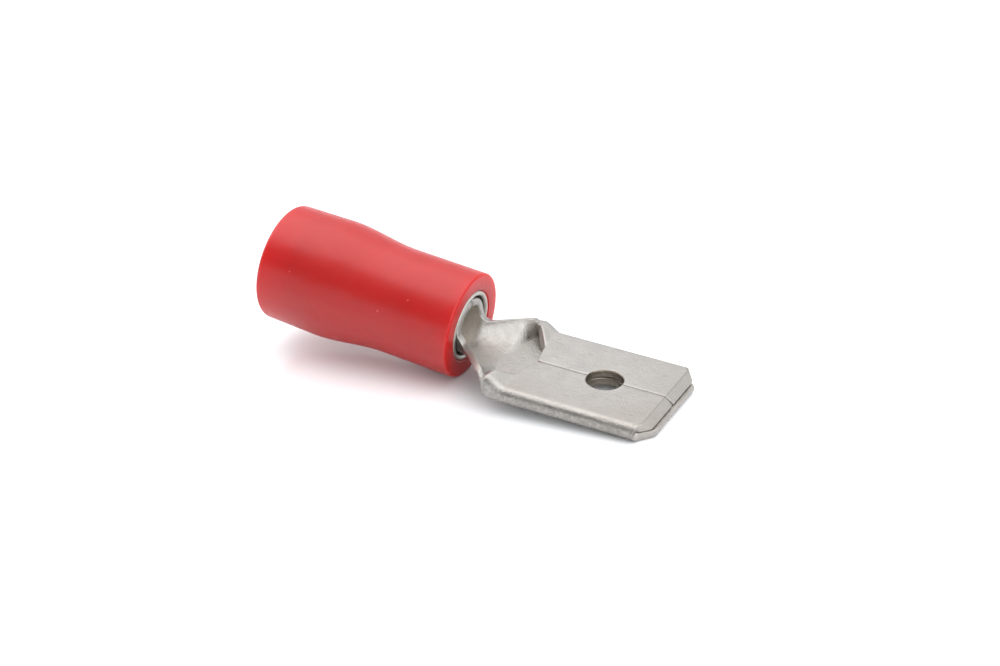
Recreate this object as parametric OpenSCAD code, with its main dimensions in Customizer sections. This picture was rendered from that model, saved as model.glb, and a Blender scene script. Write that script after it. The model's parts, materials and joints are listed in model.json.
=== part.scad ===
// Male spade terminal with an insulated crimp barrel, lying as it comes to rest on a flat surface.
// Millimetres, +Z up, +X towards the tip of the tab. The origin is under the middle of the part.

/* [Sheet and tab] */
// Thickness of the tinned brass sheet
sheet = 0.39; // [0.3:0.01:0.5]
// Slit left between the folded layers of the sheet
fold_gap = 0.02; // [0.01:0.005:0.04]
// Opening of that slit inside the folds
fold_eye = 0.08; // [0.04:0.01:0.12]
// Width of the tab over its two folds
tab_w = 6.35; // [5:0.05:8]
// Distance from the front of the barrel to the tip of the tab
tab_reach = 10.33; // [9:0.05:13]
// Length of the corner chamfers along the tab
corner_l = 0.92; // [0.4:0.02:1.6]
// Width of the corner chamfers across the tab
corner_w = 1.02; // [0.4:0.02:1.6]
// Length of the lead-in bevel on the front of the two flaps
bevel_l = 0.38; // [0.2:0.02:0.7]
// Depth of that bevel
bevel_d = 0.26; // [0.1:0.02:0.28]
// How far the flaps end behind the lower layer at the tip
flap_setback = 0.16; // [0.04:0.02:0.3]
// Width of the notch between the flaps at the tip
tip_notch_w = 0.18; // [0.12:0.02:0.4]
// Length of that notch
tip_notch_l = 0.26; // [0.16:0.02:0.5]
// Bevel under the tip
toe = 0.14; // [0.06:0.02:0.25]
// Diameter of the detent hole
hole_d = 1.72; // [1.2:0.02:2.2]
// Distance from the middle of the hole to the tip
hole_to_tip = 3.5; // [2.5:0.05:4.2]
// Width of the grooves where two edges of the sheet meet
seam_w = 0.1; // [0.06:0.01:0.16]

/* [Barrel and neck] */
// Outer diameter of the crimp barrel
barrel_od = 2.66; // [2.2:0.02:2.9]
// Length of the crimp barrel
barrel_len = 5.2; // [4:0.1:6]
// Height of the barrel's axis over the top of the tab, at the barrel's front
axis_rise = 0.868; // [0.6:0.02:1.1]
// Slope of the barrel's axis down towards the tab, in degrees
barrel_slope = 4.43; // [0:0.1:8]
// Height of the trough's walls over the top of the tab, at the barrel
wall_rise = 0.59; // [0.4:0.01:0.7]
// Height of the curled shoulders over the top of the tab
ear_rise = 0.45; // [0.25:0.01:0.6]
// Steepness of the trough's walls at the shoulders, in degrees
wall_angle = 90; // [82:1:98]
// Distance from the front of the barrel to the shoulders
shoulder_x = 2.1; // [1.6:0.05:2.5]
// Length over which a wall curls over into its flap
curl_l = 0.22; // [0.16:0.02:0.4]
// Depth of the notch between a wall and its curled shoulder
notch_d = 0.16; // [0.04:0.02:0.24]
// Distance from the front of the barrel to the place where the flaps meet
seam_x = 3.46; // [3.2:0.02:4]

/* [Support sleeve] */
// Wall of the support sleeve
support_wall = 0.24; // [0.18:0.01:0.3]
// Gap between the barrel and the sleeve's belled front lip
lip_gap = 0.12; // [0.08:0.01:0.24]
// Length of the belled lip
lip_l = 0.9; // [0.6:0.05:1.4]
// Inner diameter where the sleeve grips the wire's insulation
grip_id = 4; // [3.6:0.05:4.2]
// Distance from the back of the barrel to the widening of the sleeve
widen_after = 0.3; // [0.1:0.05:0.6]
// Length of that widening
widen_l = 1.3; // [0.9:0.05:1.6]

/* [Insulating sleeve] */
// Length of the insulating sleeve
sleeve_len = 10.04; // [9.4:0.05:12]
// Outer diameter round the barrel
front_od = 5.06; // [4.8:0.02:5.6]
// Largest outer diameter, at the back of the flare
flare_od = 5.72; // [5.5:0.05:6.4]
// Outer diameter at the wire entry
entry_od = 5.6; // [5.5:0.05:6.4]
// Distance from the front to the start of the flare
flare_from = 3.8; // [3:0.1:4.4]
// Distance from the front to the end of the flare
flare_to = 7.25; // [6.6:0.1:8]
// Rounding of the front rim
front_rim = 0.12; // [0.1:0.02:0.4]
// Rounding of the rim at the wire entry
entry_rim = 0.2; // [0.1:0.02:0.26]
// Depth of the support sleeve's end inside the wire entry
entry_depth = 1.4; // [0.8:0.05:1.8]
// Clearance between pieces that sit in one another
seat_gap = 0.01; // [0.005:0.005:0.03]

/* [Hidden] */
$fn = 96;

tin = "#c9c6c0";
ring_tin = "#d2d0c8";
vinyl_red = "#c82a2a";

// Cutters reach past the faces that they cut by this much
past = 1;

tab_t = 2 * sheet + fold_gap;
fold_r = tab_t / 2;
barrel_r = barrel_od / 2;
layer_z = -sheet - fold_gap / 2;
seam_depth = 0.08;

support_end = sleeve_len - entry_depth;
widen_from = barrel_len + widen_after;
grip_r = grip_id / 2;

// Smooth steps in the sleeves' profiles, and points on their rounded rims
flare_steps = 16;
lip_steps = 8;
rim_steps = 6;

// How far the neck is let into the barrel and the tab, how much thinner it is there, and over what length
neck_tuck = 0.25;
neck_inset = 0.008;
neck_blend = 0.16;

// Rear edges of the flaps: how much of their way to the seam is a straight slant, the share of their length at
// which they turn in to the seam, and the flat end of the flaps
flap_slant = 0.7;
turn_in = 0.75;
flat_l = 0.25;

// Shoulders: rounding of their outline, level length of their tops, and distance, place and half length of their
// notches
shoulder_round = 0.7;
ear_l = 0.2;
notch_after = 0.04;
notch_x = shoulder_x + notch_after;
notch_l = 0.25;
curl_from = shoulder_x - curl_l;
curl_to = shoulder_x + curl_l;

// Trough: rounding of its outline at the barrel, turn and length of the corners at the barrel's front edge, width
// of its bowl between round and full, where the bowl is whole, where it starts to close into the folds, and where
// the walls start to stand up
flare_round = 0.3;
corner_angle = 14;
corner_round = 0.45;
bowl = 0.9;
bowl_from = 0.4 * shoulder_x;
bowl_to = 0.62 * shoulder_x;
upright_from = 0.57 * shoulder_x;

// Opening inside the folds: length of its taper, and where it starts
eye_l = 1.2;
eye_from = seam_x + 2 * neck_tuck;

// The neck's mesh: steps along it, points across half of its section, and how much denser they lie on a bend
long_step = 0.12;
curl_step = 0.04;
half_n = 24;
bend_share = 8;

function clamp01(v) = min(1, max(0, v));
function mix(a, b, k) = a + (b - a) * k;
function ease(v) = let (c = clamp01(v)) c * c * (3 - 2 * c);

// Rest pose: the front rim of the insulating sleeve and the toe of the tab both touch the surface
rim_arm = [-front_rim, -(front_od / 2 - front_rim)];
rim_x = rim_arm[0] * cos(barrel_slope) + rim_arm[1] * sin(barrel_slope);
rim_z = rim_arm[1] * cos(barrel_slope) - rim_arm[0] * sin(barrel_slope) + axis_rise;
toe_x = tab_reach - toe;
toe_dx = toe_x - rim_x;
toe_dz = -tab_t - rim_z;
rest_tilt = atan2(toe_dz, toe_dx) + asin(front_rim / norm([toe_dx, toe_dz]));
rest_lift = toe_x * sin(rest_tilt) + tab_t * cos(rest_tilt);

// Ends of the part along X in its rest pose, which set the origin
sleeve_tilt = rest_tilt + barrel_slope;
front_end = tab_reach * cos(rest_tilt) + (layer_z - fold_gap / 2) * sin(rest_tilt);
back_end = axis_rise * sin(rest_tilt) - (sleeve_len - entry_rim) * cos(sleeve_tilt)
    - (entry_od / 2 - entry_rim) * sin(sleeve_tilt) - entry_rim;
middle_x = (front_end + back_end) / 2;

// From the tab's frame, with z = 0 on its top face, to the rest pose
module at_rest() {
    translate([-middle_x, 0, rest_lift]) rotate([0, rest_tilt, 0]) children();
}

// Puts a shape made along +Z, front face at z = 0 and its +X side up, on the barrel's axis
module on_barrel_axis() {
    translate([0, 0, axis_rise]) rotate([0, barrel_slope - 90, 0]) children();
}

// Height of the neck's underside, from the barrel's bottom line to the underside of the tab
function neck_bottom(x) = mix(axis_rise - barrel_r - x * tan(barrel_slope), -tab_t, ease(x / seam_x));

// A straight rise from 0 to 1 over a length, with a rounded start and a rounded end
function rounded_ramp(x, length, start_round, end_round) =
    let (run = length - start_round / 2)
    x < start_round ? pow(max(0, x), 2) / (2 * start_round * run) :
    x < length - end_round / 2 ? (x - start_round / 2) / run :
    1 - pow(max(0, length + end_round / 2 - x), 2) / (2 * end_round * run);

// Angle of the barrel's side at the height where the trough's walls start
barrel_turn = acos(1 - (wall_rise - neck_bottom(0)) / barrel_r);

// Half of the neck's outer width
function neck_half(x) =
    mix(barrel_r * sin(barrel_turn), tab_w / 2, rounded_ramp(x, shoulder_x, flare_round, shoulder_round));

// Height of the sheet's top over the tab: along the walls, through the notches at the shoulders, then down to
// the flat flaps
function neck_top(x) =
    let (fall_from = shoulder_x + ear_l)
    let (fall = ease((x - fall_from) / (seam_x - flat_l - fall_from)))
    let (notch = notch_d * pow(max(0, 1 - pow((x - notch_x) / notch_l, 2)), 2))
    (mix(wall_rise, ear_rise, clamp01(x / shoulder_x)) - notch) * (1 - fall);

// Angle up to which the lower bend turns: as the barrel's side at first, then up to the walls at the shoulders
function wall_turn(x) = mix(barrel_turn, wall_angle, ease((x - upright_from) / (shoulder_x - upright_from)));

// Extra turn that rounds the corner between the barrel's front edge and the walls
function corner_turn(x) = corner_angle * pow(1 - clamp01(x / corner_round), 2);

// How far the wide trough has closed into the tab's folds
function to_fold(x) = ease((x - bowl_to) / (curl_to - bowl_to));

// Height of the lower bend: the whole wall of the trough, and half of the fold at the shoulders
function lower_bend(x) = x <= 0 ? barrel_r :
    mix((neck_top(x) - neck_bottom(x)) / (1 - cos(wall_turn(x))), fold_r, to_fold(x));

// How far the lower bend reaches across: round at the barrel and at the folds, a wide bowl between
function bend_reach(x) = mix(lower_bend(x), neck_half(x), bowl * ease(x / bowl_from) * (1 - to_fold(x)));

// Distance of a flap's rear edge from the seam
function flap_edge(x) =
    let (u = clamp01((x - shoulder_x) / (seam_x - shoulder_x)))
    let (sweep = flap_slant * u + (1 - flap_slant) * ease((u - turn_in) / (1 - turn_in)))
    mix(tab_w / 2 - fold_r, seam_w / 2 + neck_inset, sweep);

// Middle of the sheet at a share of the half section, with its direction there: a flat bottom, a bend, a
// straight wall, a fold, then a straight flap
function half_point(share, flat, reach, bend, turn, wall, flap_turn, run) =
    let (fold = fold_r - sheet / 2)
    let (wall_lie = atan2(bend * sin(turn), reach * cos(turn)))
    let (bend_l = bend_share * (reach + bend) / 2 * turn * PI / 180)
    let (fold_l = bend_share * fold * max(0, flap_turn - wall_lie) * PI / 180)
    let (way = share * (flat + bend_l + wall + fold_l + run) - flat)
    way <= 0 ? [flat + way, 0, 0] :
    let (a = turn * min(1, way / bend_l))
    let (up = max(0, min(wall, way - bend_l)))
    let (lie = mix(wall_lie, flap_turn, fold_l > 0 ? clamp01((way - bend_l - wall) / fold_l) : 0))
    let (along = max(0, way - bend_l - wall - fold_l))
    [flat + reach * sin(a) + up * cos(wall_lie) + fold * (sin(lie) - sin(wall_lie)) + along * cos(lie),
     bend * (1 - cos(a)) + up * sin(wall_lie) + fold * (cos(wall_lie) - cos(lie)) + along * sin(lie),
     way < bend_l ? atan2(bend * sin(a), reach * cos(a)) : lie];

// Thickness of the sheet: a little thinner at the ends, where they are let into the barrel and the tab
function neck_thickness(x) =
    let (let_in = 1 - clamp01(x / neck_blend) * clamp01((seam_x - x) / neck_blend))
    sheet - 2 * neck_inset * let_in;

// One skin of the sheet over the whole section at a station, from edge to edge: face 1 is inside, -1 outside
function neck_skin(x, face) =
    let (bottom = neck_bottom(x))
    let (bend = lower_bend(x))
    let (reach = bend_reach(x))
    let (turn = wall_turn(x) + corner_turn(x))
    let (flat = max(0, neck_half(x) - reach * sin(min(turn, 90))))
    let (curl = ease((x - shoulder_x) / curl_l))
    let (wall_lie = atan2(bend * sin(turn), reach * cos(turn)))
    let (flap_turn = mix(wall_lie, 180, curl))
    let (folded = fold_r * (cos(wall_lie) - cos(flap_turn)))
    let (wall = max(0, neck_top(x) - bottom - bend * (1 - cos(turn)) - folded))
    let (run = max(0, tab_w / 2 - fold_r - flap_edge(x)) * curl)
    let (half = sheet / 2)
    let (out = face * neck_thickness(x) / 2)
    [for (j = [-half_n : half_n])
        let (p = half_point(abs(j) / half_n, flat, reach - half, bend - half, turn, wall, flap_turn, run))
        [x, sign(j) * (p[0] - out * sin(p[2])), bottom + half + p[1] + out * cos(p[2])]];

// Even steps from one place towards the next, without the last
function steps(from, to, step) =
    let (count = ceil((to - from) / step))
    [for (i = [0 : count - 1]) mix(from, to, i / count)];

// Two triangles between four points, taken in order round the face
function quad(a, b, c, d) = [[a, b, c], [a, c, d]];

// Folded trough between the barrel and the tab: one sheet with an outer and an inner skin
module neck() {
    xs = concat(
        steps(-neck_tuck, curl_from, long_step),
        steps(curl_from, curl_to, curl_step),
        steps(curl_to, seam_x + neck_tuck, long_step),
        [seam_x + neck_tuck]);
    stations = len(xs) - 1;
    columns = 2 * half_n + 1;
    last = columns - 1;
    side = (stations + 1) * columns;
    skins = [for (face = [-1, 1], x = xs) each neck_skin(x, face)];
    function at(face, i, j) = face * side + i * columns + j;
    cells = [for (i = [0 : stations - 1], j = [0 : last - 1]) each concat(
        quad(at(0, i, j), at(0, i + 1, j), at(0, i + 1, j + 1), at(0, i, j + 1)),
        quad(at(1, i, j), at(1, i, j + 1), at(1, i + 1, j + 1), at(1, i + 1, j)))];
    edges = [for (i = [0 : stations - 1]) each concat(
        quad(at(0, i, 0), at(1, i, 0), at(1, i + 1, 0), at(0, i + 1, 0)),
        quad(at(0, i, last), at(0, i + 1, last), at(1, i + 1, last), at(1, i, last)))];
    ends = [for (j = [0 : last - 1]) each concat(
        quad(at(0, 0, j), at(0, 0, j + 1), at(1, 0, j + 1), at(1, 0, j)),
        quad(at(0, stations, j), at(1, stations, j), at(1, stations, j + 1), at(0, stations, j + 1)))];
    polyhedron(points = skins, faces = concat(cells, edges, ends));
}

// Groove between two rolled edges of the sheet, open towards +X: outer face at x = 0
module seam_groove() {
    polygon([
        [-sheet - fold_gap / 2, -fold_gap / 2],
        [-seam_depth, -fold_gap / 2],
        [0, -seam_w / 2],
        [past, -seam_w / 2],
        [past, seam_w / 2],
        [0, seam_w / 2],
        [-seam_depth, fold_gap / 2],
        [-sheet - fold_gap / 2, fold_gap / 2]
    ]);
}

// Rolled crimp barrel with a butt seam on top
module barrel() {
    on_barrel_axis() difference() {
        cylinder(h = barrel_len, d = barrel_od);
        translate([0, 0, -past]) cylinder(h = barrel_len + 2 * past, r = barrel_r - sheet);
        translate([barrel_r, 0, -past]) linear_extrude(barrel_len + 2 * past) seam_groove();
    }
}

// Section of the folded tab across its width: two layers, rounded folds, and a seam in the upper layer
module tab_section() {
    difference() {
        union() {
            translate([-tab_w / 2 + fold_r, -tab_t]) square([tab_w - tab_t, tab_t]);
            for (side = [-1, 1]) translate([side * (tab_w / 2 - fold_r), -fold_r]) circle(r = fold_r);
        }
        translate([-tab_w / 2 + fold_r, -fold_r - fold_gap / 2]) square([tab_w - tab_t, fold_gap]);
        rotate(90) seam_groove();
    }
}

// Opening inside the fold on the +X side, tapering towards the slit
module eye_section() {
    circle(d = fold_eye);
    polygon([[0, -fold_eye / 2], [0, fold_eye / 2], [-eye_l, 0]]);
}

// Outline of the cut that chamfers the front corner on the +Y side
module corner_cut() {
    tip_cut = tab_reach - corner_l;
    polygon([
        [tip_cut, tab_w / 2],
        [tab_reach, tab_w / 2 - corner_w],
        [tab_reach + past, tab_w / 2 - corner_w],
        [tab_reach + past, tab_w / 2 + past],
        [tip_cut, tab_w / 2 + past]
    ]);
}

// Folded tab with its tip, corners and hole cut
module tab() {
    flap_front = tab_reach - flap_setback;
    through = tab_t + 2 * past;
    difference() {
        translate([seam_x, 0, 0]) rotate([90, 0, 90]) linear_extrude(tab_reach - seam_x) tab_section();
        // Bevel of the flaps, and their setback behind the lower layer
        rotate([90, 0, 0]) linear_extrude(2 * tab_w, center = true) polygon([
            [flap_front - bevel_l, 0],
            [flap_front, -bevel_d],
            [flap_front, -fold_r],
            [tab_reach + past, -fold_r],
            [tab_reach + past, past],
            [flap_front - bevel_l, past]
        ]);
        // Bevel under the tip
        rotate([90, 0, 0]) linear_extrude(2 * tab_w, center = true) polygon([
            [toe_x, -tab_t],
            [tab_reach, -tab_t + toe],
            [tab_reach + past, -tab_t + toe],
            [tab_reach + past, -tab_t - past],
            [toe_x, -tab_t - past]
        ]);
        // Notch between the flaps
        translate([0, 0, layer_z]) linear_extrude(sheet + past) polygon([
            [flap_front - tip_notch_l, 0],
            [flap_front, -tip_notch_w / 2],
            [tab_reach + past, -tip_notch_w / 2],
            [tab_reach + past, tip_notch_w / 2],
            [flap_front, tip_notch_w / 2]
        ]);
        for (side = [0, 1]) mirror([0, side, 0]) {
            translate([0, 0, -tab_t - past]) linear_extrude(through) corner_cut();
            translate([eye_from, tab_w / 2 - fold_r, -fold_r]) rotate([90, 0, 90])
                linear_extrude(tab_reach) eye_section();
        }
        translate([tab_reach - hole_to_tip, 0, -tab_t - past]) cylinder(h = through, d = hole_d);
    }
}

module terminal() {
    color(tin) at_rest() {
        barrel();
        neck();
        tab();
    }
}

// Inner radius of the support sleeve at a distance behind its front: belled lip, barrel fit, insulation grip
function support_bore(s) =
    barrel_r + seat_gap + lip_gap * (1 - ease(s / lip_l))
    + (grip_r - barrel_r - seat_gap) * ease((s - widen_from) / widen_l);

support_stations = concat(
    [for (i = [0 : lip_steps]) lip_l * i / lip_steps],
    [for (i = [0 : flare_steps]) widen_from + widen_l * i / flare_steps],
    [support_end]);

// A revolved profile: points of radius and distance behind the front
module revolved(points) {
    on_barrel_axis() rotate_extrude() polygon(points);
}

module support_sleeve() {
    last = len(support_stations) - 1;
    color(ring_tin) at_rest() revolved(concat(
        [for (s = support_stations) [support_bore(s), s]],
        [for (i = [last : -1 : 0]) let (s = support_stations[i]) [support_bore(s) + support_wall, s]]));
}

// Points of a quarter round from one angle to the next
function rim_arc(centre, radius, from, to) = [for (i = [0 : rim_steps])
    let (a = mix(from, to, i / rim_steps))
    centre + radius * [cos(a), sin(a)]];

// Outer radius of the insulating sleeve between its flare's two ends
function flare_radius(s) = mix(front_od / 2, flare_od / 2, ease((s - flare_from) / (flare_to - flare_from)));

module insulating_sleeve() {
    last = len(support_stations) - 1;
    skin = support_wall + seat_gap;
    entry_r = grip_r + skin;
    color(vinyl_red) at_rest() revolved(concat(
        [for (s = support_stations) [support_bore(s) + skin, s]],
        rim_arc([entry_r + entry_rim, sleeve_len - entry_rim], entry_rim, 180, 90),
        rim_arc([entry_od / 2 - entry_rim, sleeve_len - entry_rim], entry_rim, 90, 0),
        [for (i = [flare_steps : -1 : 0])
            let (s = mix(flare_from, flare_to, i / flare_steps))
            [flare_radius(s), s]],
        rim_arc([front_od / 2 - front_rim, front_rim], front_rim, 0, -90)));
}

terminal();
support_sleeve();
insulating_sleeve();
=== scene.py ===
"""Looks, light and camera for the male spade terminal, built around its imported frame."""
import json
import math

import bpy
import numpy as np
from mathutils import Matrix, Vector


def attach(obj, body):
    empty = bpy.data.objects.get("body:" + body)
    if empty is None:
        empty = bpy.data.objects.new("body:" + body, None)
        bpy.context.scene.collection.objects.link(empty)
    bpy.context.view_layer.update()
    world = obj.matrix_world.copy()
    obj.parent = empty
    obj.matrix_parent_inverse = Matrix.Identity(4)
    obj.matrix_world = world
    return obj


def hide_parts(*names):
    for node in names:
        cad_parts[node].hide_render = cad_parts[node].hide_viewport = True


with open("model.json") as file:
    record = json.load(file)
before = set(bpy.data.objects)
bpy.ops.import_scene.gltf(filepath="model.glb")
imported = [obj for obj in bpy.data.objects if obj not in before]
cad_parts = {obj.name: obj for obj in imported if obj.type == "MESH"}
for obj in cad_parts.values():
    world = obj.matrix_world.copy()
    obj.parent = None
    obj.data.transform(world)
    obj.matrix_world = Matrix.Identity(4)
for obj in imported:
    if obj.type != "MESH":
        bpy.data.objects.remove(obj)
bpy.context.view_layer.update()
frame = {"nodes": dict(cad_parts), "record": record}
mounts = {mount["name"]: mount for mount in frame["record"]["mounts"]}

MM = 0.001

# Sheet and tab, in millimetres
SHEET = 0.39
FOLD_GAP = 0.02
TAB_W = 6.35
TAB_REACH = 10.33
CORNER_L = 0.92
CORNER_W = 1.02
BEVEL_L = 0.38
BEVEL_D = 0.26
FLAP_SETBACK = 0.16
TOE = 0.14
HOLE_TO_TIP = 3.5
SEAM_GAP = 0.015
TAB_T = 2 * SHEET + FOLD_GAP
FOLD_R = TAB_T / 2
HOLE_R = mounts["detent_hole"]["dims"]["r_mm"]
HOLE_X = TAB_REACH - HOLE_TO_TIP
FLAP_FRONT = TAB_REACH - FLAP_SETBACK
BEVEL_X = FLAP_FRONT - BEVEL_L
TOE_X = TAB_REACH - TOE
CORNER_Y = TAB_W / 2 - CORNER_W

# Barrel and neck, in millimetres and degrees
BARREL_R = mounts["wire_barrel"]["dims"]["r_mm"] + SHEET
BARREL_LEN = mounts["wire_barrel"]["dims"]["length_mm"]
AXIS_RISE = 0.868
BARREL_SLOPE = 4.43
WALL_RISE = 0.59
EAR_RISE = 0.45
SHOULDER_X = 2.1
FLARE_ROUND = 0.3
SHOULDER_ROUND = 0.7
CURL_L = 0.22
CURL_TO = SHOULDER_X + CURL_L
SEAM_X = 3.46
FLAT_L = 0.25
FLAP_SLANT = 0.7
TURN_IN = 0.75
CORNER_ANGLE = 14
CORNER_ROUND = 0.45
EAR_L = 0.2
NOTCH_AFTER = 0.04
NOTCH_X = SHOULDER_X + NOTCH_AFTER
NOTCH_L = 0.25
NOTCH_D = 0.16
BOWL_TO = 0.76 * SHOULDER_X
CAP_RECESS = 0.06
CAP_BLEND = 4

# Sleeves, in millimetres
SUPPORT_WALL = 0.24
LIP_GAP = 0.12
LIP_L = 0.9
GRIP_R = mounts["insulation_grip"]["dims"]["r_mm"]
WIDEN_AFTER = 0.3
WIDEN_L = 1.3
SLEEVE_LEN = 10.04
FRONT_OD = 5.06
FLARE_OD = 5.72
ENTRY_OD = 5.6
FLARE_FROM = 3.8
FLARE_TO = 7.25
FRONT_RIM = 0.12
ENTRY_RIM = 0.2
ENTRY_DEPTH = 1.4
SEAT_GAP = 0.01
SUPPORT_END = SLEEVE_LEN - ENTRY_DEPTH
WIDEN_FROM = BARREL_LEN + WIDEN_AFTER

# Camera, in the frame's metres and degrees
CAMERA_PLACE = Vector((0.04027, -0.071875, 0.044264))
CAMERA_TARGET = Vector((-0.000668, 0.004123, 0))
CAMERA_ROLL = -2.725
CAMERA_LENS = 72


def clamp01(v):
    return min(1.0, max(0.0, v))


def mix(a, b, k):
    return a + (b - a) * k


def ease(v):
    c = clamp01(v)
    return c * c * (3 - 2 * c)


def tab_to_world():
    """Matrix from the tab's millimetres, with z = 0 on its top face, to the frame, by the hole's mount."""
    axis = mounts["detent_hole"]["axis"]
    turn = Matrix.Rotation(math.atan2(axis[0], axis[2]), 4, "Y")
    centre = Vector((HOLE_X, 0, -TAB_T / 2)) * MM
    place = Vector(mounts["detent_hole"]["pos_m"]) - turn @ centre
    return Matrix.Translation(place) @ turn @ Matrix.Scale(MM, 4)


TO_WORLD = tab_to_world()


# Edges sharper than this, in degrees, stay sharp
SHARP_ANGLE = 60


def add_mesh(name, points, faces):
    """A mesh object from points in the tab's millimetres."""
    mesh = bpy.data.meshes.new(name)
    mesh.from_pydata([TO_WORLD @ Vector(p) for p in points], [], faces)
    mesh.validate()
    mesh.shade_smooth()
    mesh.set_sharp_from_angle(angle=math.radians(SHARP_ANGLE))
    piece = bpy.data.objects.new(name, mesh)
    bpy.context.scene.collection.objects.link(piece)
    normals = piece.modifiers.new("weighted normals", "WEIGHTED_NORMAL")
    normals.keep_sharp = True
    return piece


# The folded sheet: half of its section is a flat bottom, a bend, a wall, a fold and a straight flap
def neck_bottom(x):
    at_barrel = AXIS_RISE - BARREL_R * math.cos(math.radians(BARREL_SLOPE))
    return mix(at_barrel - x * math.tan(math.radians(BARREL_SLOPE)), -TAB_T, ease(x / SEAM_X))


BARREL_TURN = math.acos(1 - (WALL_RISE - neck_bottom(0)) / BARREL_R)


def neck_lean(x):
    """Lean of a section's plane: square to the barrel at its front, upright at the shoulders."""
    return math.radians(BARREL_SLOPE) * (1 - ease(x / SHOULDER_X))


def neck_half(x):
    """Half of the outer width: a straight flare with a rounded start and a rounded shoulder."""
    run = SHOULDER_X - FLARE_ROUND / 2
    if x < FLARE_ROUND:
        ramp = max(0.0, x) ** 2 / (2 * FLARE_ROUND * run)
    elif x < SHOULDER_X - SHOULDER_ROUND / 2:
        ramp = (x - FLARE_ROUND / 2) / run
    else:
        ramp = 1 - max(0.0, SHOULDER_X + SHOULDER_ROUND / 2 - x) ** 2 / (2 * SHOULDER_ROUND * run)
    return mix(BARREL_R * math.sin(BARREL_TURN), TAB_W / 2, ramp)


def neck_top(x):
    """Height over the tab: along a wall, through the notch before the ear, and down to the flat flap."""
    fall_from = SHOULDER_X + EAR_L
    fall = ease((x - fall_from) / (SEAM_X - FLAT_L - fall_from))
    notch = NOTCH_D * max(0.0, 1 - ((x - NOTCH_X) / NOTCH_L) ** 2) ** 2
    return (mix(WALL_RISE, EAR_RISE, clamp01(x / SHOULDER_X)) - notch) * (1 - fall)


def to_fold(x):
    """How far the wide trough has closed into the tab's fold."""
    return ease((x - BOWL_TO) / (CURL_TO - BOWL_TO))


def wall_turn(x):
    """Angle up to which the lower bend turns: as the barrel's side at first, upright at the shoulders."""
    return mix(BARREL_TURN, math.pi / 2, to_fold(x))


def corner_turn(x):
    """Extra turn that rounds the corner between the barrel's front edge and the walls."""
    return math.radians(CORNER_ANGLE) * (1 - clamp01(x / CORNER_ROUND)) ** 2


def lower_bend(x):
    """Height of the lower bend: the whole wall of the trough, and half of the fold at the shoulders."""
    if x <= 0:
        return BARREL_R
    whole = (neck_top(x) - neck_bottom(x)) / (1 - math.cos(wall_turn(x)))
    return mix(whole, FOLD_R, to_fold(x))


def bend_reach(x):
    """Reach of the lower bend across: half of the trough, and half of the fold at the shoulders."""
    return mix(neck_half(x) / math.sin(wall_turn(x)), FOLD_R, to_fold(x))


def flap_edge(x):
    """Distance of a flap's rear edge from the seam: slanted along the ear, then turned in to the seam."""
    u = clamp01((x - SHOULDER_X) / (SEAM_X - SHOULDER_X))
    sweep = FLAP_SLANT * u + (1 - FLAP_SLANT) * ease((u - TURN_IN) / (1 - TURN_IN))
    return mix(TAB_W / 2 - FOLD_R, SEAM_GAP, sweep)


# Columns across half of the sheet, as shares of its length with bends counted several times
BEND_SHARE = 4
FLAT_COLUMNS = 10
CORNER_COLUMNS = 3
BEND_COLUMNS = 26


def column_shares():
    flat = TAB_W / 2 - FOLD_R
    bend = BEND_SHARE * (FOLD_R - SHEET / 2) * math.pi
    stops = [0, CORNER_Y, flat, flat + bend, 2 * flat + bend - CORNER_Y, 2 * flat + bend - SEAM_GAP]
    counts = [FLAT_COLUMNS, CORNER_COLUMNS, BEND_COLUMNS, CORNER_COLUMNS, FLAT_COLUMNS]
    places = [0.0]
    for start, stop, count in zip(stops, stops[1:], counts):
        places += [mix(start, stop, (k + 1) / count) for k in range(count)]
    return [place / places[-1] for place in places]


SHARES = column_shares()


def half_curve(share, flat, reach, bend, turn, wall, fold, flap_turn, run):
    """Place across, height and direction of the sheet's middle at a share of its length."""
    wall_lie = math.atan2(bend * math.sin(turn), reach * math.cos(turn))
    bend_l = BEND_SHARE * (reach + bend) / 2 * turn
    fold_l = BEND_SHARE * fold * max(0.0, flap_turn - wall_lie)
    way = share * (flat + bend_l + wall + fold_l + run)
    if way <= flat:
        return way, 0.0, 0.0
    way -= flat
    if way <= bend_l:
        a = way / bend_l * turn
        lie = math.atan2(bend * math.sin(a), reach * math.cos(a))
        return flat + reach * math.sin(a), bend * (1 - math.cos(a)), lie
    way -= bend_l
    up = min(wall, way)
    past = max(0.0, way - wall - fold_l)
    lie = wall_lie
    if fold_l:
        lie += clamp01((way - wall) / fold_l) * (flap_turn - wall_lie)
    across = flat + reach * math.sin(turn) + up * math.cos(wall_lie)
    height = bend * (1 - math.cos(turn)) + up * math.sin(wall_lie)
    return (across + fold * (math.sin(lie) - math.sin(wall_lie)) + past * math.cos(lie),
            height + fold * (math.cos(wall_lie) - math.cos(lie)) + past * math.sin(lie), lie)


def neck_curve(x, share):
    """The sheet's middle at a station of the neck: place across, height over its underside, direction."""
    bend, reach, turn = lower_bend(x), bend_reach(x), wall_turn(x) + corner_turn(x)
    curl = ease((x - SHOULDER_X) / CURL_L)
    wall_lie = math.atan2(bend * math.sin(turn), reach * math.cos(turn))
    flap_turn = mix(wall_lie, math.pi, curl)
    folded = FOLD_R * (math.cos(wall_lie) - math.cos(flap_turn))
    wall = max(0.0, neck_top(x) - neck_bottom(x) - bend * (1 - math.cos(turn)) - folded)
    reached = reach * math.sin(min(turn, math.pi / 2)) + wall * max(0.0, math.cos(wall_lie))
    flat = max(0.0, neck_half(x) - reached)
    run = max(0.0, TAB_W / 2 - FOLD_R - flap_edge(x)) * curl
    half = SHEET / 2
    return half_curve(share, flat, reach - half, bend - half, turn, wall, FOLD_R - half, flap_turn, run)


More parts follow.
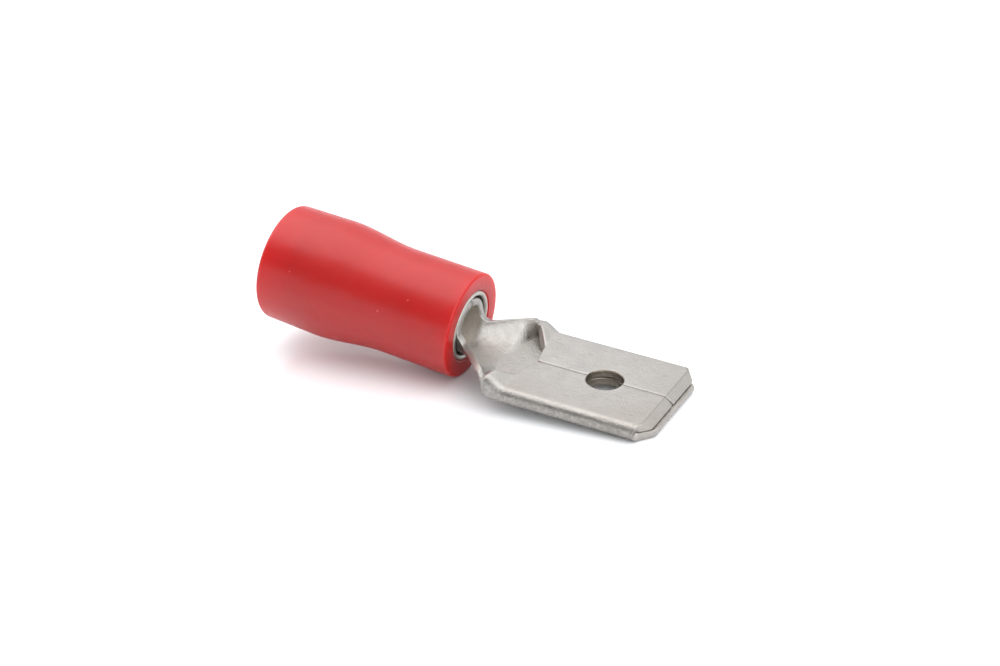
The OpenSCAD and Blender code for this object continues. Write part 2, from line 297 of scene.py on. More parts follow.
def neck_foot(x):
    """Where the middle of the sheet's underside lies at a station of the barrel or the neck."""
    if x < 0:
        slope = math.radians(BARREL_SLOPE)
        return (x * math.cos(slope) - BARREL_R * math.sin(slope),
                AXIS_RISE - x * math.sin(slope) - BARREL_R * math.cos(slope))
    return x - BARREL_R * math.sin(neck_lean(x)), neck_bottom(x)


# Step along X over which a flap's slope is measured
TILT_STEP = 0.01


def flap_tilt(x, share, y, h, lie):
    """Slope along X of a flap, by which its cut edge leans."""
    if lie <= math.pi / 2:
        return 0.0
    y1, h1, lie1 = neck_curve(x + TILT_STEP, share)
    rise_y = (y1 - y) / TILT_STEP
    rise_z = (h1 + neck_bottom(x + TILT_STEP) - h - neck_bottom(x)) / TILT_STEP
    return (math.sin(lie) * rise_y - math.cos(lie) * rise_z) * math.cos(lie) ** 2


def neck_row(x):
    """Outer and inner points of half of the sheet at a station of the barrel or the neck."""
    foot_x, foot_z = neck_foot(x)
    lean = neck_lean(x)
    row = []
    for share in SHARES:
        y, h, lie = neck_curve(x, share)
        tilt = flap_tilt(x, share, y, h, lie)
        half = SHEET / 2 / math.hypot(1, tilt)
        pair = []
        for side in (half, -half):
            py = y + side * math.sin(lie)
            ph = h + SHEET / 2 - side * math.cos(lie)
            pair.append((foot_x + ph * math.sin(lean) - side * tilt, py, foot_z + ph * math.cos(lean)))
        row.append(pair)
    return row


# Lead-in notch between the flaps at the tip, and the wider mouth of the barrel's seam
TIP_NOTCH = 0.09
TIP_NOTCH_L = 0.26
SEAM_MOUTH = 0.1
SEAM_MOUTH_L = 0.3

# Rows near the tip: where they start, and how close they lie to the edge line of the bevel or toe
TIP_FROM = 9.2
EDGE_SOFT = 0.012
EDGE_LINE = 0.05
EDGE_LEAST = 0.12

# The slit between the layers opens a little towards the folds
EYE = 0.02
EYE_L = 1.2

# Steps between rows along the sheet, and between points round the hole and the barrel's cap
BARREL_STEP = 0.4
BARREL_END_STEP = 0.2
NECK_STEP = 0.07
CURL_STEP = 0.02
FLAP_STEP = 0.05
TAB_STEP = 0.3
HOLE_MARGIN = 0.15
HOLE_ANGLES = [0, 3.33, 8] + list(range(15, 166, 10)) + [172, 176.67, 180]
CAP_COLUMNS = 18


def chamfer_x(y):
    return TAB_REACH - CORNER_L * max(0.0, y - CORNER_Y) / CORNER_W


def hole_half(x):
    return math.sqrt(max(0.0, HOLE_R ** 2 - (x - HOLE_X) ** 2))


def bevel_edge(y, front):
    return min(BEVEL_X, min(chamfer_x(y), front) - EDGE_LEAST)


def tab_row(place):
    """Outer and inner points of half of the tab; place gives x from a layer's edge line and front."""
    flat = TAB_W / 2 - FOLD_R
    row = []
    for share in SHARES:
        bend = FOLD_R - SHEET / 2
        y, h, lie = half_curve(share, flat, bend, bend, math.pi / 2, 0.0, bend, math.pi, flat - SEAM_GAP)
        lower = lie == 0
        upper = math.pi - lie < 1e-6
        pair = []
        for side in (1, -1):
            front = min(chamfer_x(y), FLAP_FRONT if upper else TAB_REACH)
            edge = min(TOE_X if lower else BEVEL_X, front - EDGE_LEAST)
            x = place(edge, front)
            slit = EYE * ease((y - flat) / EYE_L + 1) * ease((x - SEAM_X) / EYE_L) if side < 0 else 0.0
            out = side * SHEET / 2 + slit
            py = y + out * math.sin(lie)
            pz = h + SHEET / 2 - out * math.cos(lie) - TAB_T
            if lower and py < CORNER_Y:
                py = mix(hole_half(x), CORNER_Y, py / CORNER_Y)
            if upper and py < CORNER_Y:
                notch = TIP_NOTCH * ease((x - FLAP_FRONT + TIP_NOTCH_L) / TIP_NOTCH_L)
                inner_y = max(SEAM_GAP + notch, hole_half(x))
                py = mix(inner_y, CORNER_Y, (py - SEAM_GAP) / (CORNER_Y - SEAM_GAP))
            if lower and side > 0:
                pz += max(0.0, x - TOE_X)
            if upper and side > 0:
                pz -= max(0.0, x - BEVEL_X) * BEVEL_D / BEVEL_L
            pair.append((x, py, pz))
        row.append(pair)
    return row


def at_x(x):
    return lambda edge, front: x


def to_edge(share, before):
    return lambda edge, front: mix(TIP_FROM, edge - before, share)


def to_front(share, behind):
    return lambda edge, front: mix(edge + behind, front, share)


def steps(start, stop, step):
    """Even steps from start to before stop."""
    count = math.ceil((stop - start) / step - 1e-6)
    return [mix(start, stop, k / count) for k in range(count)]


def barrel_stations():
    middle = steps(-BARREL_LEN + BARREL_END_STEP, -BARREL_STEP, BARREL_STEP)
    return [-BARREL_LEN] + middle + [-BARREL_STEP, -BARREL_END_STEP, 0.0]


def neck_stations():
    curl_from = SHOULDER_X - CURL_L
    return (steps(0.0, curl_from, NECK_STEP)[1:] + steps(curl_from, CURL_TO, CURL_STEP)
            + steps(CURL_TO, SEAM_X, FLAP_STEP))


def tab_places():
    """Rows of the tab: to the hole, round it, on to the tip's edge line, and over that to the front."""
    hole_from = HOLE_X - HOLE_R - HOLE_MARGIN
    hole_to = HOLE_X + HOLE_R + HOLE_MARGIN
    places = [at_x(x) for x in steps(SEAM_X, hole_from, TAB_STEP)]
    places.append(at_x(hole_from))
    places += [at_x(HOLE_X - HOLE_R * math.cos(math.radians(a))) for a in HOLE_ANGLES]
    places += [at_x(x) for x in steps(hole_to, TIP_FROM, TAB_STEP)]
    places += [to_edge(share, EDGE_LINE) for share in (0, 0.5, 1)]
    places += [to_edge(1, EDGE_SOFT), to_front(0, EDGE_SOFT)]
    places += [to_front(share, EDGE_LINE) for share in (0, 0.5, 1)]
    return places


def cap_row(x):
    """Outer and inner points of the barrel's upper quarter, from the trough's edge up to the seam."""
    slope = math.radians(BARREL_SLOPE)
    gap = SEAM_GAP + SEAM_MOUTH * ease((x + SEAM_MOUTH_L) / SEAM_MOUTH_L)
    last = 180 - math.degrees(math.asin(gap / BARREL_R))
    first = math.degrees(BARREL_TURN) + CORNER_ANGLE
    row = []
    for k in range(CAP_COLUMNS + 1):
        a = math.radians(mix(first, last, k / CAP_COLUMNS))
        s = x - CAP_RECESS * ease(k / CAP_BLEND) * ease(1 + x / SEAM_MOUTH_L)
        pair = []
        for radius in (BARREL_R, BARREL_R - SHEET):
            height = -radius * math.cos(a)
            pair.append((s * math.cos(slope) + height * math.sin(slope), radius * math.sin(a),
                         AXIS_RISE - s * math.sin(slope) + height * math.cos(slope)))
        row.append(pair)
    return row


# Points closer than this are one; odd, so that no measured place lies half way between two steps
WELD = 0.000713

# Rounded cut edges: radius, also in the zone of the tab's seam, and steps; the greatest shares of the
# thickness and of the last column that a radius takes; and the least opening counted at a corner
CUT_EDGE_R = 0.08
SEAM_EDGE_R = 0.03
SEAM_ZONE = 0.3
RIM_STEPS = 3
RIM_THICK_SHARE = 0.45
RIM_ROOM_SHARE = 1.6
MITRE_LEAST = 0.5


class Sheet:
    """Quads on a thick sheet, welded where they meet, with rounded cut edges all round."""

    def __init__(self):
        self.index = {}
        self.pairs = []
        self.quads = []

    def point(self, pair):
        key = tuple(round(c / WELD) for p in pair for c in p)
        if key not in self.index:
            self.index[key] = len(self.pairs)
            self.pairs.append(pair)
        return self.index[key]

    def add(self, rows, mirrored):
        flip = -1 if mirrored else 1
        ids = [[self.point([(p[0], flip * p[1], p[2]) for p in pair]) for pair in row] for row in rows]
        for low, high in zip(ids, ids[1:]):
            for k in range(len(low) - 1):
                quad = [low[k], high[k], high[k + 1], low[k + 1]]
                self.quads.append(quad[::-1] if mirrored else quad)

    def edges(self):
        """Directed edges that belong to one quad only, each with its quad."""
        owner = {}
        for quad in self.quads:
            for a, b in zip(quad, quad[1:] + quad[:1]):
                owner[(a, b)] = quad
        return {pair: quad for pair, quad in owner.items() if (pair[1], pair[0]) not in owner}

    def solid(self, rounding, rim_steps):
        """Points and faces of the closed solid; rounding gives an edge's radius at a point of the sheet."""
        outer = np.array([pair[0] for pair in self.pairs])
        inner = np.array([pair[1] for pair in self.pairs])
        middle = (outer + inner) / 2
        cut = self.edges()
        inward = {}
        room = {}
        for (a, b), quad in cut.items():
            along = middle[b] - middle[a]
            along /= np.linalg.norm(along)
            into = middle[quad].mean(axis=0) - (middle[a] + middle[b]) / 2
            into -= along * (into @ along)
            depth = np.linalg.norm(into)
            for v in (a, b):
                inward.setdefault(v, []).append(into / depth)
                room[v] = min(room.get(v, depth), depth)
        points = [list(outer), list(inner)]
        rings = {}
        extra = []
        first_extra = 2 * len(outer)
        for v, ways in inward.items():
            back = sum(ways) / max(MITRE_LEAST, 1 + ways[0] @ ways[-1]) if len(ways) == 2 else ways[0]
            through = inner[v] - outer[v]
            thick = np.linalg.norm(through)
            through = through / thick
            r = min(rounding(middle[v]), RIM_THICK_SHARE * thick, RIM_ROOM_SHARE * room[v])
            o, i = outer[v], inner[v]
            ring = [v]
            for k in range(1, rim_steps + 1):
                a = k / rim_steps * math.pi / 2
                extra.append(o + (back + through) * r - (through * math.cos(a) + back * math.sin(a)) * r)
                ring.append(first_extra + len(extra) - 1)
            for k in range(rim_steps):
                a = k / rim_steps * math.pi / 2
                extra.append(i + (back - through) * r - (back * math.cos(a) - through * math.sin(a)) * r)
                ring.append(first_extra + len(extra) - 1)
            ring.append(len(outer) + v)
            rings[v] = ring
            points[0][v] = o + back * r
            points[1][v] = i + back * r
        faces = list(self.quads)
        faces += [[len(outer) + v for v in quad[::-1]] for quad in self.quads]
        for a, b in cut:
            for k in range(len(rings[a]) - 1):
                faces.append([rings[b][k], rings[a][k], rings[a][k + 1], rings[b][k + 1]])
        return points[0] + points[1] + extra, faces


def cut_rounding(point):
    """Crisper edges along the tab's seam than elsewhere."""
    on_seam = point[0] > SEAM_X and abs(point[1]) < SEAM_ZONE
    return SEAM_EDGE_R if on_seam else CUT_EDGE_R


# Wear, painted shade and dullness of the plating, as shares and millimetres
# width of the hole's bare edge, whose colour is partly painted shade
SHADED_BARE_RIM = 0.1
TIP_WEAR = 0.7
SIDE_WEAR = 0.7
REAR_SHADE = 0.5
TROUGH_SHADE = 0.28
RUBBED_W = 0.25
BORE_FADE = 0.5
EAR_DULL = 0.6
EAR_DULL_L = 0.45
EAR_DULL_Y = 2.0


def bare_edge_and_shade(points, count):
    """Where the plating is missing on the cut edge of the punched hole; its dark colour there is partly
    painted shade in the hole.
    """
    values = [0.0] * len(points)
    for k in range(2 * count, len(points)):
        x, y, z = points[k]
        values[k] = 1.0 if math.hypot(x - HOLE_X, y) < HOLE_R + SHADED_BARE_RIM else 0.0
    return values


def worn(points):
    """How worn the plating is: more towards the tab's tip and near side."""
    values = []
    for x, y, z in points:
        tip = ease((x - HOLE_X) / (TAB_REACH - HOLE_X))
        side = ease((x - SHOULDER_X) / SHOULDER_X) * ease(-2 * y / TAB_W)
        values.append(clamp01(TIP_WEAR * tip + SIDE_WEAR * side))
    return values


def grime(points, first_rim):
    """Painted shade: a dark line where a flap's bevel starts, a paler painted shadow line on its rear edge,
    and painted shade over the trough.
    """
    values = []
    for k, (x, y, z) in enumerate(points):
        on_bevel = abs(x - bevel_edge(abs(y), FLAP_FRONT)) < 2 * EDGE_SOFT and z > -EDGE_LINE
        on_rear = k >= first_rim and CURL_TO < x < SEAM_X and z > -SHEET / 2
        # painted shade over the trough and barrel, fading out towards the seam
        recess_shade = TROUGH_SHADE * ease((SEAM_X - x) / SHOULDER_X)
        values.append(1.0 if on_bevel else REAR_SHADE if on_rear else recess_shade)
    return values


def rubbed(points):
    """How far a point lies out on the tab's folds, where the plating is grainy."""
    values = []
    for x, y, z in points:
        out = ease((abs(y) - TAB_W / 2) / RUBBED_W + 1)
        values.append(out * ease((x - SHOULDER_X) / CURL_L))
    return values


def dull(points, count):
    """Where the inner skin is dull: in the barrel, in the ears' corners and in the tip's slit."""
    values = [0.0] * len(points)
    for k in range(count, 2 * count):
        x, y, z = points[k]
        in_slit = x > TIP_FROM and abs(y) > CORNER_Y
        bore = 1 - ease(x / BORE_FADE + 0.5)
        ear = EAR_DULL * ease((x - BOWL_TO) / EAR_DULL_L) * ease((abs(y) - EAR_DULL_Y) / EAR_DULL_L)
        values[k] = 1.0 if in_slit else max(bore, ear)
    return values


def add_values(piece, name, values):
    layer = piece.data.attributes.new(name, "FLOAT", "POINT")
    layer.data.foreach_set("value", values)


def build_terminal():
    barrel = [neck_row(x) for x in barrel_stations()]
    neck = [neck_row(x) for x in neck_stations()]
    tab = [tab_row(place) for place in tab_places()]
    cap = [cap_row(x) for x in barrel_stations()]
    sheet = Sheet()
    for mirrored in (False, True):
        sheet.add(barrel + neck + tab, mirrored)
        sheet.add(cap, mirrored)
    points, faces = sheet.solid(cut_rounding, RIM_STEPS)
    count = len(sheet.pairs)
    piece = add_mesh("terminal_sheet", points, faces)
    # bare edge of the hole, partly painted shade
    add_values(piece, "bare", bare_edge_and_shade(points, count))
    add_values(piece, "worn", worn(points))
    # painted shade, kept as a point attribute
    add_values(piece, "grime", grime(points, 2 * count))
    add_values(piece, "rubbed", rubbed(points))
    add_values(piece, "dull", dull(points, count))
    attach(piece, "root")
    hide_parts("terminal")
    return piece


# The two sleeves are turned round the barrel's axis; steps round it, along it and round their rims
TURN_STEPS = 144
BEND_STEP = 0.08
SEAT_STEP = 0.6
MOUTH_STEP = 0.3
SKIN_STEP = 0.12
RIM_ARC_STEPS = 10
FRONT_ARC_STEPS = 14
SEAT_ARC_STEPS = 6
SEAT_RIM = 0.08


def arc(centre, radius, start, stop, count):
    """Points of radius and distance behind the front, on part of a circle."""
    angles = [math.radians(mix(start, stop, k / count)) for k in range(count + 1)]
    return [(centre[0] + radius * math.cos(a), centre[1] + radius * math.sin(a)) for a in angles]


def turned(name, profile):
    """A closed profile, turned round the barrel's axis."""
    slope = math.radians(BARREL_SLOPE)
    points = []
    for k in range(TURN_STEPS):
        a = 2 * math.pi * k / TURN_STEPS
        for radius, s in profile:
            height = radius * math.cos(a)
            points.append((-s * math.cos(slope) + height * math.sin(slope), radius * math.sin(a),
                           AXIS_RISE + s * math.sin(slope) + height * math.cos(slope)))
    count = len(profile)
    faces = []
    for k in range(TURN_STEPS):
        this, other = k * count, (k + 1) % TURN_STEPS * count
        for j in range(count):
            n = (j + 1) % count
            faces.append([this + j, this + n, other + n, other + j])
    return add_mesh(name, points, faces)


def support_bore(s):
    lip = LIP_GAP * (1 - ease(s / LIP_L))
    grip = (GRIP_R - BARREL_R - SEAT_GAP) * ease((s - WIDEN_FROM) / WIDEN_L)
    return BARREL_R + SEAT_GAP + lip + grip


def support_stations():
    half = SUPPORT_WALL / 2
    widen_to = WIDEN_FROM + WIDEN_L
    return (steps(half, LIP_L, BEND_STEP) + steps(LIP_L, WIDEN_FROM, SEAT_STEP)
            + steps(WIDEN_FROM, widen_to, BEND_STEP) + [widen_to, SUPPORT_END - half])


def build_support_sleeve():
    half = SUPPORT_WALL / 2
    bore = [(support_bore(s), s) for s in support_stations()]
    skin = [(r + SUPPORT_WALL, s) for r, s in bore[::-1]]
    back = arc((bore[-1][0] + half, SUPPORT_END - half), half, 180, 0, RIM_ARC_STEPS)[1:-1]
    lip = arc((bore[0][0] + half, half), half, 0, -180, RIM_ARC_STEPS)[1:-1]
    piece = turned("support_tube", bore + back + skin + lip)
    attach(piece, "root")
    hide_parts("support_sleeve")
    return piece


def flare_radius(s):
    flare = mix(FRONT_OD / 2, FLARE_OD / 2, ease((s - FLARE_FROM) / (FLARE_TO - FLARE_FROM)))
    return mix(flare, ENTRY_OD / 2, clamp01((s - FLARE_TO) / (SLEEVE_LEN - ENTRY_RIM - FLARE_TO)))


def build_insulating_sleeve():
    skin = SUPPORT_WALL + SEAT_GAP
    seat = [(support_bore(s) + skin, s) for s in support_stations()]
    seat[0] = (seat[0][0], SEAT_RIM + SEAT_GAP)
    mouth_r = GRIP_R + skin
    rim_s = SLEEVE_LEN - ENTRY_RIM
    mouth = [(mouth_r, s) for s in steps(SUPPORT_END, rim_s, MOUTH_STEP)]
    mouth += arc((mouth_r + ENTRY_RIM, rim_s), ENTRY_RIM, 180, 90, RIM_ARC_STEPS)
    mouth += arc((ENTRY_OD / 2 - ENTRY_RIM, rim_s), ENTRY_RIM, 90, 0, RIM_ARC_STEPS)
    body = [(flare_radius(s), s) for s in steps(rim_s, FRONT_RIM, -SKIN_STEP)[1:]]
    front = arc((FRONT_OD / 2 - FRONT_RIM, FRONT_RIM), FRONT_RIM, 0, -90, FRONT_ARC_STEPS)
    front += arc((seat[0][0] + SEAT_RIM, SEAT_RIM), SEAT_RIM, -90, -180, SEAT_ARC_STEPS)[:-1]
    profile = seat + mouth + body + front
    piece = turned("insulating_vinyl", profile)
    add_values(piece, "cut", [1.0 if s < FRONT_RIM / 2 else 0.0 for r, s in profile] * TURN_STEPS)
    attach(piece, "root")
    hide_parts("insulating_sleeve")
    return piece


class Shader:
    """A material's node tree, with short calls to add and join nodes."""

    def __init__(self, name):
        self.material = bpy.data.materials.new(name)
        self.material.use_nodes = True
        self.nodes = self.material.node_tree.nodes
        self.links = self.material.node_tree.links
        self.bsdf = self.nodes["Principled BSDF"]

    def add(self, kind, **settings):
        node = self.nodes.new(kind)
        for key, value in settings.items():
            setattr(node, key, value)
        return node

    def join(self, source, target):
        self.links.new(source, target)

    def place(self, scale):
        """The object's own coordinates, in millimetres, scaled along X, Y and Z."""
        coordinates = self.add("ShaderNodeTexCoord")
        mapping = self.add("ShaderNodeMapping")
        mapping.inputs["Scale"].default_value = Vector(scale) / MM
        self.join(coordinates.outputs["Object"], mapping.inputs["Vector"])
        return mapping.outputs["Vector"]

    def spread(self, value, start, stop, low, high):
        """A value's range from start to stop, stretched to the range from low to high."""
        node = self.add("ShaderNodeMapRange")
        for name, level in (("From Min", start), ("From Max", stop), ("To Min", low), ("To Max", high)):
            node.inputs[name].default_value = level
        self.join(value, node.inputs["Value"])
        return node.outputs["Result"]

    def noise(self, scale, detail, low, high):
        """Noise stretched to the range from low to high."""
        texture = self.add("ShaderNodeTexNoise")
        texture.inputs["Scale"].default_value = 1
        texture.inputs["Detail"].default_value = detail
        self.join(self.place(scale), texture.inputs["Vector"])
        return self.spread(texture.outputs["Fac"], 0.3, 0.7, low, high)

    def blend(self, factor, first, second):
        """A colour between two, by a factor; the first may come from another node."""
        node = self.add("ShaderNodeMix", data_type="RGBA")
        if isinstance(first, bpy.types.NodeSocket):
            self.join(first, node.inputs["A"])
        else:
            node.inputs["A"].default_value = (*first, 1)
        node.inputs["B"].default_value = (*second, 1)
        self.join(factor, node.inputs["Factor"])
        return node.outputs["Result"]

    def attribute(self, name):
        return self.add("ShaderNodeAttribute", attribute_name=name).outputs["Fac"]

    def times(self, first, second):
        """Product of two values, kept between zero and one."""
        node = self.add("ShaderNodeMath", operation="MULTIPLY", use_clamp=True)
        self.join(first, node.inputs[0])
        self.join(second, node.inputs[1])
        return node.outputs["Value"]

    def specks(self, scale, size):
        """One where the surface passes close to scattered points, else zero."""
        texture = self.add("ShaderNodeTexVoronoi")
        texture.inputs["Scale"].default_value = 1
        self.join(self.place((scale, scale, scale)), texture.inputs["Vector"])
        return self.spread(texture.outputs["Distance"], size, size / 2, 0, 1)

    def bump(self, height, depth, below=None):
        """Bump of a depth in millimetres, on top of another."""
        node = self.add("ShaderNodeBump")
        node.inputs["Distance"].default_value = depth * MM
        self.join(height, node.inputs["Height"])
        if below:
            self.join(below, node.inputs["Normal"])
        return node.outputs["Normal"]


# Colours of the plating where it is worn, where painted shade darkens it, or where it is missing on the
# hole's edge, there partly painted shade
WORN_TIN = (0.515, 0.48, 0.445)
BLOTCHED_TIN = (0.46, 0.44, 0.41)
SMUDGED_TIN = (0.38, 0.36, 0.33)
RUBBED_TIN = (0.34, 0.32, 0.29)
BARE_SHADED_EDGE = (0.34, 0.3, 0.25)
# colour of the painted shade
SHADED_TIN = (0.4, 0.38, 0.35)
DULL_TIN = (0.56, 0.51, 0.44)
DULL_METALLIC = 0.2

# Depths of the bumps in the plating and the vinyl, in millimetres
GRAIN_D = 0.006
PITS_D = 0.008
MARKS_D = 0.0015
DENTS_D = 0.006
VINYL_GRAIN_D = 0.0015
VINYL_WAVES_D = 0.01


def tin(name, pale, dark, rough):
    """Satin tin plate: smudges, a rosy cast where it is worn, grain, pits and rolling marks along X, and
    painted shade at the flaps' bevels and rear edges, over the trough and in the punched hole.
    """
    shader = Shader(name)
    bsdf = shader.bsdf
    hidden = shader.attribute("dull")
    shader.join(shader.spread(hidden, 0, 1, 1, DULL_METALLIC), bsdf.inputs["Metallic"])
    plate = shader.blend(shader.noise((1.1, 1.1, 1.1), 5, 0, 1), dark, pale)
    plate = shader.blend(shader.attribute("worn"), plate, WORN_TIN)
    plate = shader.blend(shader.noise((5, 5, 5), 3, -0.1, 0.22), plate, BLOTCHED_TIN)
    plate = shader.blend(shader.noise((1.8, 5, 5), 3, -1.6, 0.38), plate, SMUDGED_TIN)
    pepper = shader.times(shader.attribute("rubbed"), shader.noise((8, 8, 8), 3, -0.1, 0.9))
    plate = shader.blend(pepper, plate, RUBBED_TIN)
    # bare cut edge of the hole, its dark colour partly painted shade in the hole
    plate = shader.blend(shader.attribute("bare"), plate, BARE_SHADED_EDGE)
    # painted shade: dark line at each flap's bevel start, shadow line on its rear edge, darkening over the
    # trough
    plate = shader.blend(shader.attribute("grime"), plate, SHADED_TIN)
    plate = shader.blend(hidden, plate, DULL_TIN)
    shader.join(plate, bsdf.inputs["Base Color"])
    shader.join(shader.noise((2.5, 2.5, 2.5), 4, rough - 0.08, rough + 0.1), bsdf.inputs["Roughness"])
    grain = shader.bump(shader.noise((20, 20, 20), 2, 0, 1), GRAIN_D)
    pits = shader.bump(shader.noise((8, 8, 8), 3, 0, 1), PITS_D, grain)
    marks = shader.bump(shader.noise((1.2, 16, 16), 3, 0, 1), MARKS_D, pits)
    dents = shader.bump(shader.noise((1.6, 1.6, 1.6), 2, 0, 1), DENTS_D, marks)
    shader.join(dents, bsdf.inputs["Normal"])
    return shader.material


# The vinyl's reds, its gloss on the skin and on the cut front, and how far light spreads in it
DEEP_RED = (0.56, 0.007, 0.006)
BRIGHT_RED = (0.6, 0.009, 0.008)
SPECK_RED = (0.78, 0.13, 0.11)
SKIN_GLOSS = 0.75
CUT_GLOSS = 0.45
RED_SPREAD = 1.8


def vinyl(name):
    """Soft red vinyl: satin, translucent at thin rims, faintly uneven, with a few pale specks."""
    shader = Shader(name)
    bsdf = shader.bsdf
    tone = shader.blend(shader.noise((0.5, 0.5, 0.5), 3, 0, 1), DEEP_RED, BRIGHT_RED)
    tone = shader.blend(shader.specks(0.7, 0.045), tone, SPECK_RED)
    shader.join(tone, bsdf.inputs["Base Color"])
    shader.join(shader.noise((3, 3, 3), 3, 0.3, 0.37), bsdf.inputs["Roughness"])
    gloss = shader.spread(shader.attribute("cut"), 0, 1, SKIN_GLOSS, CUT_GLOSS)
    shader.join(gloss, bsdf.inputs["Specular IOR Level"])
    bsdf.inputs["Subsurface Weight"].default_value = 0.9
    bsdf.inputs["Subsurface Radius"].default_value = (1, 0.16, 0.12)
    bsdf.inputs["Subsurface Scale"].default_value = RED_SPREAD * MM
    grain = shader.bump(shader.noise((18, 18, 18), 2, 0, 1), VINYL_GRAIN_D)
    waves = shader.bump(shader.noise((1.1, 1.1, 1.1), 2, 0, 1), VINYL_WAVES_D, grain)
    shader.join(waves, bsdf.inputs["Normal"])
    return shader.material


# The table's white, the white glow added to it, its share in mirrors, and how far off the object lessens
# the glow, a painted shade round the object
TABLE_WHITE = (0.82, 0.84, 0.86)
ADDED_WHITE = 0.54
MIRROR_SHARE = 0.25
SHADE_REACH = 10


def white_table(name):
    """Satin white, with a white glow added to what the camera and mirrors see, lessened close to the object
    as painted shade.
    """
    shader = Shader(name)
    shader.bsdf.inputs["Base Color"].default_value = (*TABLE_WHITE, 1)
    shader.bsdf.inputs["Roughness"].default_value = 0.15
    shader.bsdf.inputs["Specular IOR Level"].default_value = 0.8
    path = shader.add("ShaderNodeLightPath")
    mirrored = shader.add("ShaderNodeMath", operation="ADD")
    shader.join(path.outputs["Is Glossy Ray"], mirrored.inputs[0])
    shader.join(path.outputs["Is Transmission Ray"], mirrored.inputs[1])
    either = shader.add("ShaderNodeMath", operation="ADD", use_clamp=True)
    shader.join(path.outputs["Is Camera Ray"], either.inputs[0])
    shader.join(shader.spread(mirrored.outputs["Value"], 0, 1, 0, MIRROR_SHARE), either.inputs[1])
    # ambient occlusion cuts the glow near the object: a painted shadow on the table
    open_sky = shader.add("ShaderNodeAmbientOcclusion", samples=1)
    open_sky.inputs["Distance"].default_value = SHADE_REACH * MM
    added = shader.spread(open_sky.outputs["AO"], 0, 1, 0, ADDED_WHITE)
    glow = shader.add("ShaderNodeEmission")
    shader.join(shader.times(either.outputs["Value"], added), glow.inputs["Strength"])
    both = shader.add("ShaderNodeAddShader")
    shader.join(shader.bsdf.outputs["BSDF"], both.inputs[0])
    shader.join(glow.outputs["Emission"], both.inputs[1])
    shader.join(both.outputs["Shader"], shader.nodes["Material Output"].inputs["Surface"])
    return shader.material


def paint(piece, material):
    piece.data.materials.clear()
    piece.data.materials.append(material)


# Round table with a raised rim, in metres
FLOOR_R = 0.72
RIM_R = 0.18
FLOOR_STEPS = 96
SWEEP_STEPS = 8


def build_floor():
    """A white disc whose edge sweeps up, so that low views end on white too."""
    angles = [k / SWEEP_STEPS * math.pi / 2 for k in range(SWEEP_STEPS + 1)]
    profile = [(FLOOR_R + RIM_R * math.sin(a), RIM_R * (1 - math.cos(a))) for a in angles]
    points = [(0, 0, 0)]
    faces = []
    for k in range(FLOOR_STEPS):
        turn = 2 * math.pi * k / FLOOR_STEPS
        points += [(r * math.cos(turn), r * math.sin(turn), z) for r, z in profile]
        this = 1 + k * len(profile)
        other = 1 + (k + 1) % FLOOR_STEPS * len(profile)
        faces.append([0, this, other])
        faces += [[this + j, this + j + 1, other + j + 1, other + j] for j in range(len(profile) - 1)]
    mesh = bpy.data.meshes.new("floor")
    mesh.from_pydata(points, [], faces)
    mesh.shade_smooth()
    floor = bpy.data.objects.new("floor", mesh)
    bpy.context.scene.collection.objects.link(floor)
    paint(floor, white_table("white table"))


# Light round the X axis, from the back over the top to the front, left and right of the object
LEFT_TONES = [(0, 0.3), (0.12, 0.38), (0.2, 0.47), (0.34, 0.9), (0.56, 0.9), (0.71, 0.12), (1, 0.1)]
RIGHT_TONES = [(0, 0.3), (0.12, 0.38), (0.2, 0.47), (0.34, 0.8), (0.56, 0.9), (0.78, 0.9), (1, 0.4)]
RIGHT_FROM = 0.1
RIGHT_TO = 0.6
BLUE_CAST = 1.01
STUDIO_LEVEL = 2


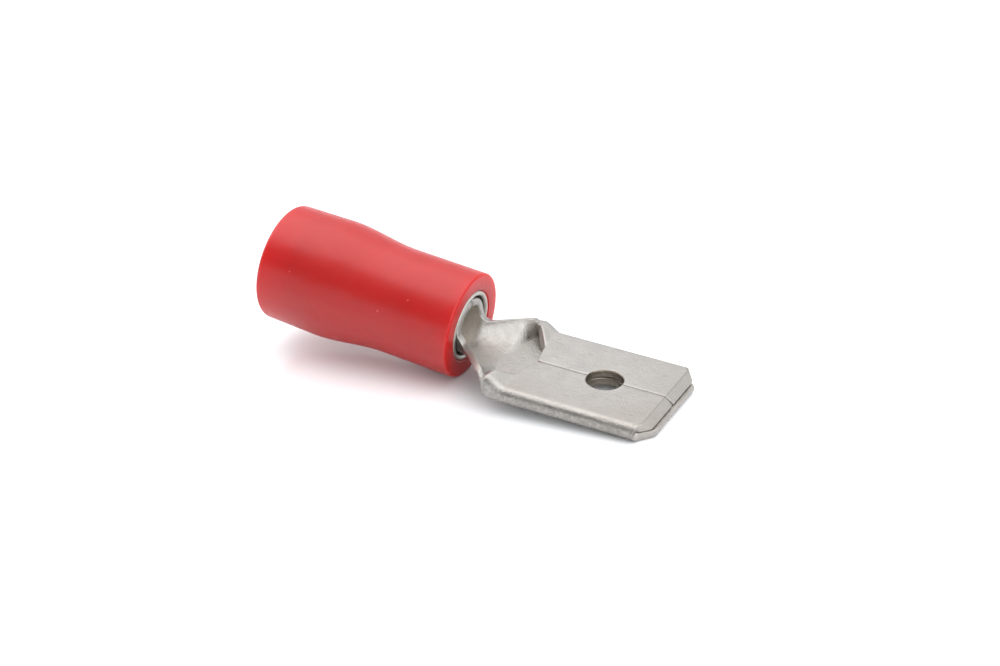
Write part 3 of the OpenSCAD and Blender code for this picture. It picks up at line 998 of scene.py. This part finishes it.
def build_studio():
    """Soft light all round, with a dim side at the front left."""
    world = bpy.data.worlds.new("studio")
    bpy.context.scene.world = world
    world.use_nodes = True
    nodes, links = world.node_tree.nodes, world.node_tree.links
    coordinates = nodes.new("ShaderNodeTexCoord")
    parts = nodes.new("ShaderNodeSeparateXYZ")
    links.new(coordinates.outputs["Generated"], parts.inputs["Vector"])
    round_x = nodes.new("ShaderNodeMath")
    round_x.operation = "ARCTAN2"
    links.new(parts.outputs["Z"], round_x.inputs[0])
    links.new(parts.outputs["Y"], round_x.inputs[1])
    share = nodes.new("ShaderNodeMapRange")
    share.inputs["From Max"].default_value = math.pi
    links.new(round_x.outputs["Value"], share.inputs["Value"])
    right = nodes.new("ShaderNodeMapRange")
    right.interpolation_type = "SMOOTHSTEP"
    right.inputs["From Min"].default_value = RIGHT_FROM
    right.inputs["From Max"].default_value = RIGHT_TO
    links.new(parts.outputs["X"], right.inputs["Value"])
    both = nodes.new("ShaderNodeMix")
    both.data_type = "RGBA"
    links.new(right.outputs["Result"], both.inputs["Factor"])
    for name, tones in (("A", LEFT_TONES), ("B", RIGHT_TONES)):
        ramp = nodes.new("ShaderNodeValToRGB")
        ramp.color_ramp.interpolation = "EASE"
        elements = ramp.color_ramp.elements
        while len(elements) < len(tones):
            elements.new(0.5)
        for element, (place, level) in zip(elements, tones):
            element.position = place
            element.color = (level, level, level * BLUE_CAST, 1)
        links.new(share.outputs["Result"], ramp.inputs["Fac"])
        side = [socket for socket in both.inputs if socket.name == name and socket.type == "RGBA"][0]
        links.new(ramp.outputs["Color"], side)
    background = nodes["Background"]
    background.inputs["Strength"].default_value = STUDIO_LEVEL
    mixed = [socket for socket in both.outputs if socket.type == "RGBA"][0]
    links.new(mixed, background.inputs["Color"])


def build_camera():
    data = bpy.data.cameras.new("camera")
    data.lens = CAMERA_LENS
    data.clip_start = MM
    camera = bpy.data.objects.new("camera", data)
    look = (CAMERA_TARGET - CAMERA_PLACE).to_track_quat("-Z", "Y").to_matrix().to_4x4()
    roll = Matrix.Rotation(math.radians(CAMERA_ROLL), 4, "Z")
    camera.matrix_world = Matrix.Translation(CAMERA_PLACE) @ look @ roll
    bpy.context.scene.collection.objects.link(camera)
    bpy.context.scene.camera = camera


build_camera()
build_floor()
build_studio()
bpy.context.scene.view_settings.view_transform = "Standard"

sheet_tin = tin("tinned sheet", (0.6, 0.58, 0.55), (0.53, 0.51, 0.485), 0.39)
tube_tin = tin("tinned tube", (0.69, 0.68, 0.63), (0.61, 0.6, 0.55), 0.36)
red_vinyl = vinyl("red vinyl")
paint(build_terminal(), sheet_tin)
paint(build_support_sleeve(), tube_tin)
paint(build_insulating_sleeve(), red_vinyl)
paint(frame["nodes"]["terminal"], sheet_tin)
paint(frame["nodes"]["support_sleeve"], tube_tin)
paint(frame["nodes"]["insulating_sleeve"], red_vinyl)
